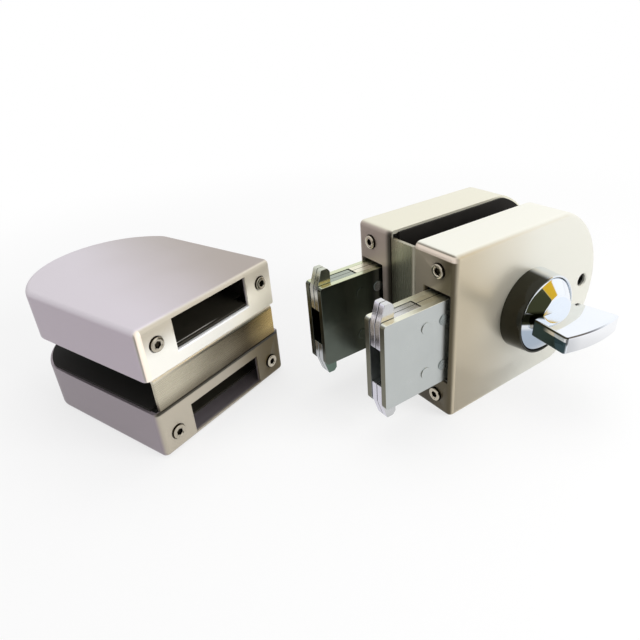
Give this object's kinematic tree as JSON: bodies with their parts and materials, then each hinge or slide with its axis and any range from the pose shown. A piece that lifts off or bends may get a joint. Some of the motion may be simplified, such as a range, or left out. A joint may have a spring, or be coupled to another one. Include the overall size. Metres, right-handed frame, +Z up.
{
  "type": "glass door lock",
  "caption": "Clamp-on lock for a frameless glass door: lock case with twin hook bolts and thumb-turn, and its matching strike box.",
  "frame": {"origin": "bottom centre of the box round both units as they lie in the picture", "axes": "+X runs from the strike towards the back of the lock case, +Y from the thumb-turn towards the key side, +Z up"},
  "size_m": [0.2056, 0.1767, 0.068],
  "materials": {
    "cover_stainless": "satin brushed stainless steel",
    "channel_stainless": "satin brushed stainless steel, bent",
    "glass_plate_steel": "zinc-plated steel plate",
    "gasket_rubber": "matt black rubber",
    "core_zinc": "die-cast zinc, grey",
    "clamp_screw_steel": "zinc-plated steel",
    "face_screw_steel": "stainless socket screw",
    "guide_brass": "machined brass",
    "strap_steel": "spring steel strip",
    "spindle_steel": "ground steel",
    "pinion_steel": "cut steel teeth, oiled",
    "bolt_front_zinc": "bright zinc-plated steel with a blue tint",
    "bolt_rear_zinc": "bright zinc-plated steel with a green tint",
    "jaw_zinc": "bright zinc-plated steel",
    "rivet_steel": "flat-headed steel rivet",
    "turn_chrome": "polished chrome plate",
    "cylinder_nickel": "satin nickel plate on brass",
    "strike_box_steel": "thin zinc-plated sheet"
  },
  "bodies": {
    "fixed_parts": {"lock_front_cover": "cover_stainless", "lock_rear_cover": "cover_stainless", "strike_upper_cover": "cover_stainless", "strike_lower_cover": "cover_stainless", "lock_front_plate": "glass_plate_steel", "lock_rear_plate": "glass_plate_steel", "strike_upper_plate": "glass_plate_steel", "strike_lower_plate": "glass_plate_steel", "lock_front_gasket": "gasket_rubber", "lock_rear_gasket": "gasket_rubber", "strike_upper_gasket": "gasket_rubber", "strike_lower_gasket": "gasket_rubber", "lock_edge_channel": "channel_stainless", "strike_edge_channel": "channel_stainless", "lock_core_block": "core_zinc", "strike_clamp_sleeves": "clamp_screw_steel", "lock_clamp_screws": "clamp_screw_steel", "lock_clamp_nuts": "clamp_screw_steel", "strike_clamp_screws": "clamp_screw_steel", "strike_clamp_nuts": "clamp_screw_steel", "lock_face_screws": "face_screw_steel", "strike_face_screws": "face_screw_steel", "lock_apex_screw": "clamp_screw_steel", "front_guide_rails": "guide_brass", "rear_guide_rails": "guide_brass", "front_guide_strap": "strap_steel", "rear_guide_strap": "strap_steel", "front_spindle_bush": "guide_brass", "rear_spindle_bush": "guide_brass", "thumb_rose": "turn_chrome", "cylinder_ring": "turn_chrome", "key_cylinder": "cylinder_nickel", "strike_upper_box": "strike_box_steel", "strike_lower_box": "strike_box_steel"},
    "turn_unit": {"thumb_turn": "turn_chrome", "spindle": "spindle_steel", "front_pinion": "pinion_steel", "rear_pinion": "pinion_steel", "spindle_circlips": "strap_steel", "key_plug": "cylinder_nickel"},
    "front_bolt": {"front_bolt_outer_plate": "bolt_front_zinc", "front_bolt_inner_plate": "bolt_front_zinc", "front_bolt_rack": "bolt_front_zinc", "front_bolt_rivets": "rivet_steel", "front_bolt_jaw_pins": "rivet_steel"},
    "rear_bolt": {"rear_bolt_outer_plate": "bolt_rear_zinc", "rear_bolt_inner_plate": "bolt_rear_zinc", "rear_bolt_rack": "bolt_rear_zinc", "rear_bolt_rivets": "rivet_steel", "rear_bolt_jaw_pins": "rivet_steel"},
    "front_upper_jaw": {"front_upper_jaw": "jaw_zinc"},
    "front_lower_jaw": {"front_lower_jaw": "jaw_zinc"},
    "rear_upper_jaw": {"rear_upper_jaw": "jaw_zinc"},
    "rear_lower_jaw": {"rear_lower_jaw": "jaw_zinc"}
  },
  "joints": [
    {"name": "thumb_turn_spin", "type": "hinge", "parent": "fixed_parts", "child": "turn_unit", "pos_m": [0.05729, -0.03125, 0.034], "axis": [0, 1, 0], "range_deg": [0, 180]},
    {"name": "front_bolt_slide", "type": "slide", "parent": "fixed_parts", "child": "front_bolt", "axis": [1, 0, 0], "range_m": [0, 0.02985]},
    {"name": "front_upper_jaw_pivot", "type": "hinge", "parent": "front_bolt", "child": "front_upper_jaw", "pos_m": [0.0046, -0.0498, 0.0434], "axis": [0, -1, 0], "range_deg": [0, 22]},
    {"name": "front_lower_jaw_pivot", "type": "hinge", "parent": "front_bolt", "child": "front_lower_jaw", "pos_m": [0.0046, -0.0498, 0.0246], "axis": [0, 1, 0], "range_deg": [0, 22]},
    {"name": "rear_bolt_slide", "type": "slide", "parent": "fixed_parts", "child": "rear_bolt", "axis": [1, 0, 0], "range_m": [0, 0.02985]},
    {"name": "rear_upper_jaw_pivot", "type": "hinge", "parent": "rear_bolt", "child": "rear_upper_jaw", "pos_m": [0.0046, -0.0127, 0.0434], "axis": [0, -1, 0], "range_deg": [0, 22]},
    {"name": "rear_lower_jaw_pivot", "type": "hinge", "parent": "rear_bolt", "child": "rear_lower_jaw", "pos_m": [0.0046, -0.0127, 0.0246], "axis": [0, 1, 0], "range_deg": [0, 22]}
  ],
  "couplings": [
    {"joint": "front_bolt_slide", "follows": "thumb_turn_spin", "m_per_rad": 0.0095},
    {"joint": "front_upper_jaw_pivot", "follows": "thumb_turn_spin", "ratio": 0.1222},
    {"joint": "front_lower_jaw_pivot", "follows": "thumb_turn_spin", "ratio": 0.1222},
    {"joint": "rear_bolt_slide", "follows": "thumb_turn_spin", "m_per_rad": 0.0095},
    {"joint": "rear_upper_jaw_pivot", "follows": "thumb_turn_spin", "ratio": 0.1222},
    {"joint": "rear_lower_jaw_pivot", "follows": "thumb_turn_spin", "ratio": 0.1222}
  ]
}
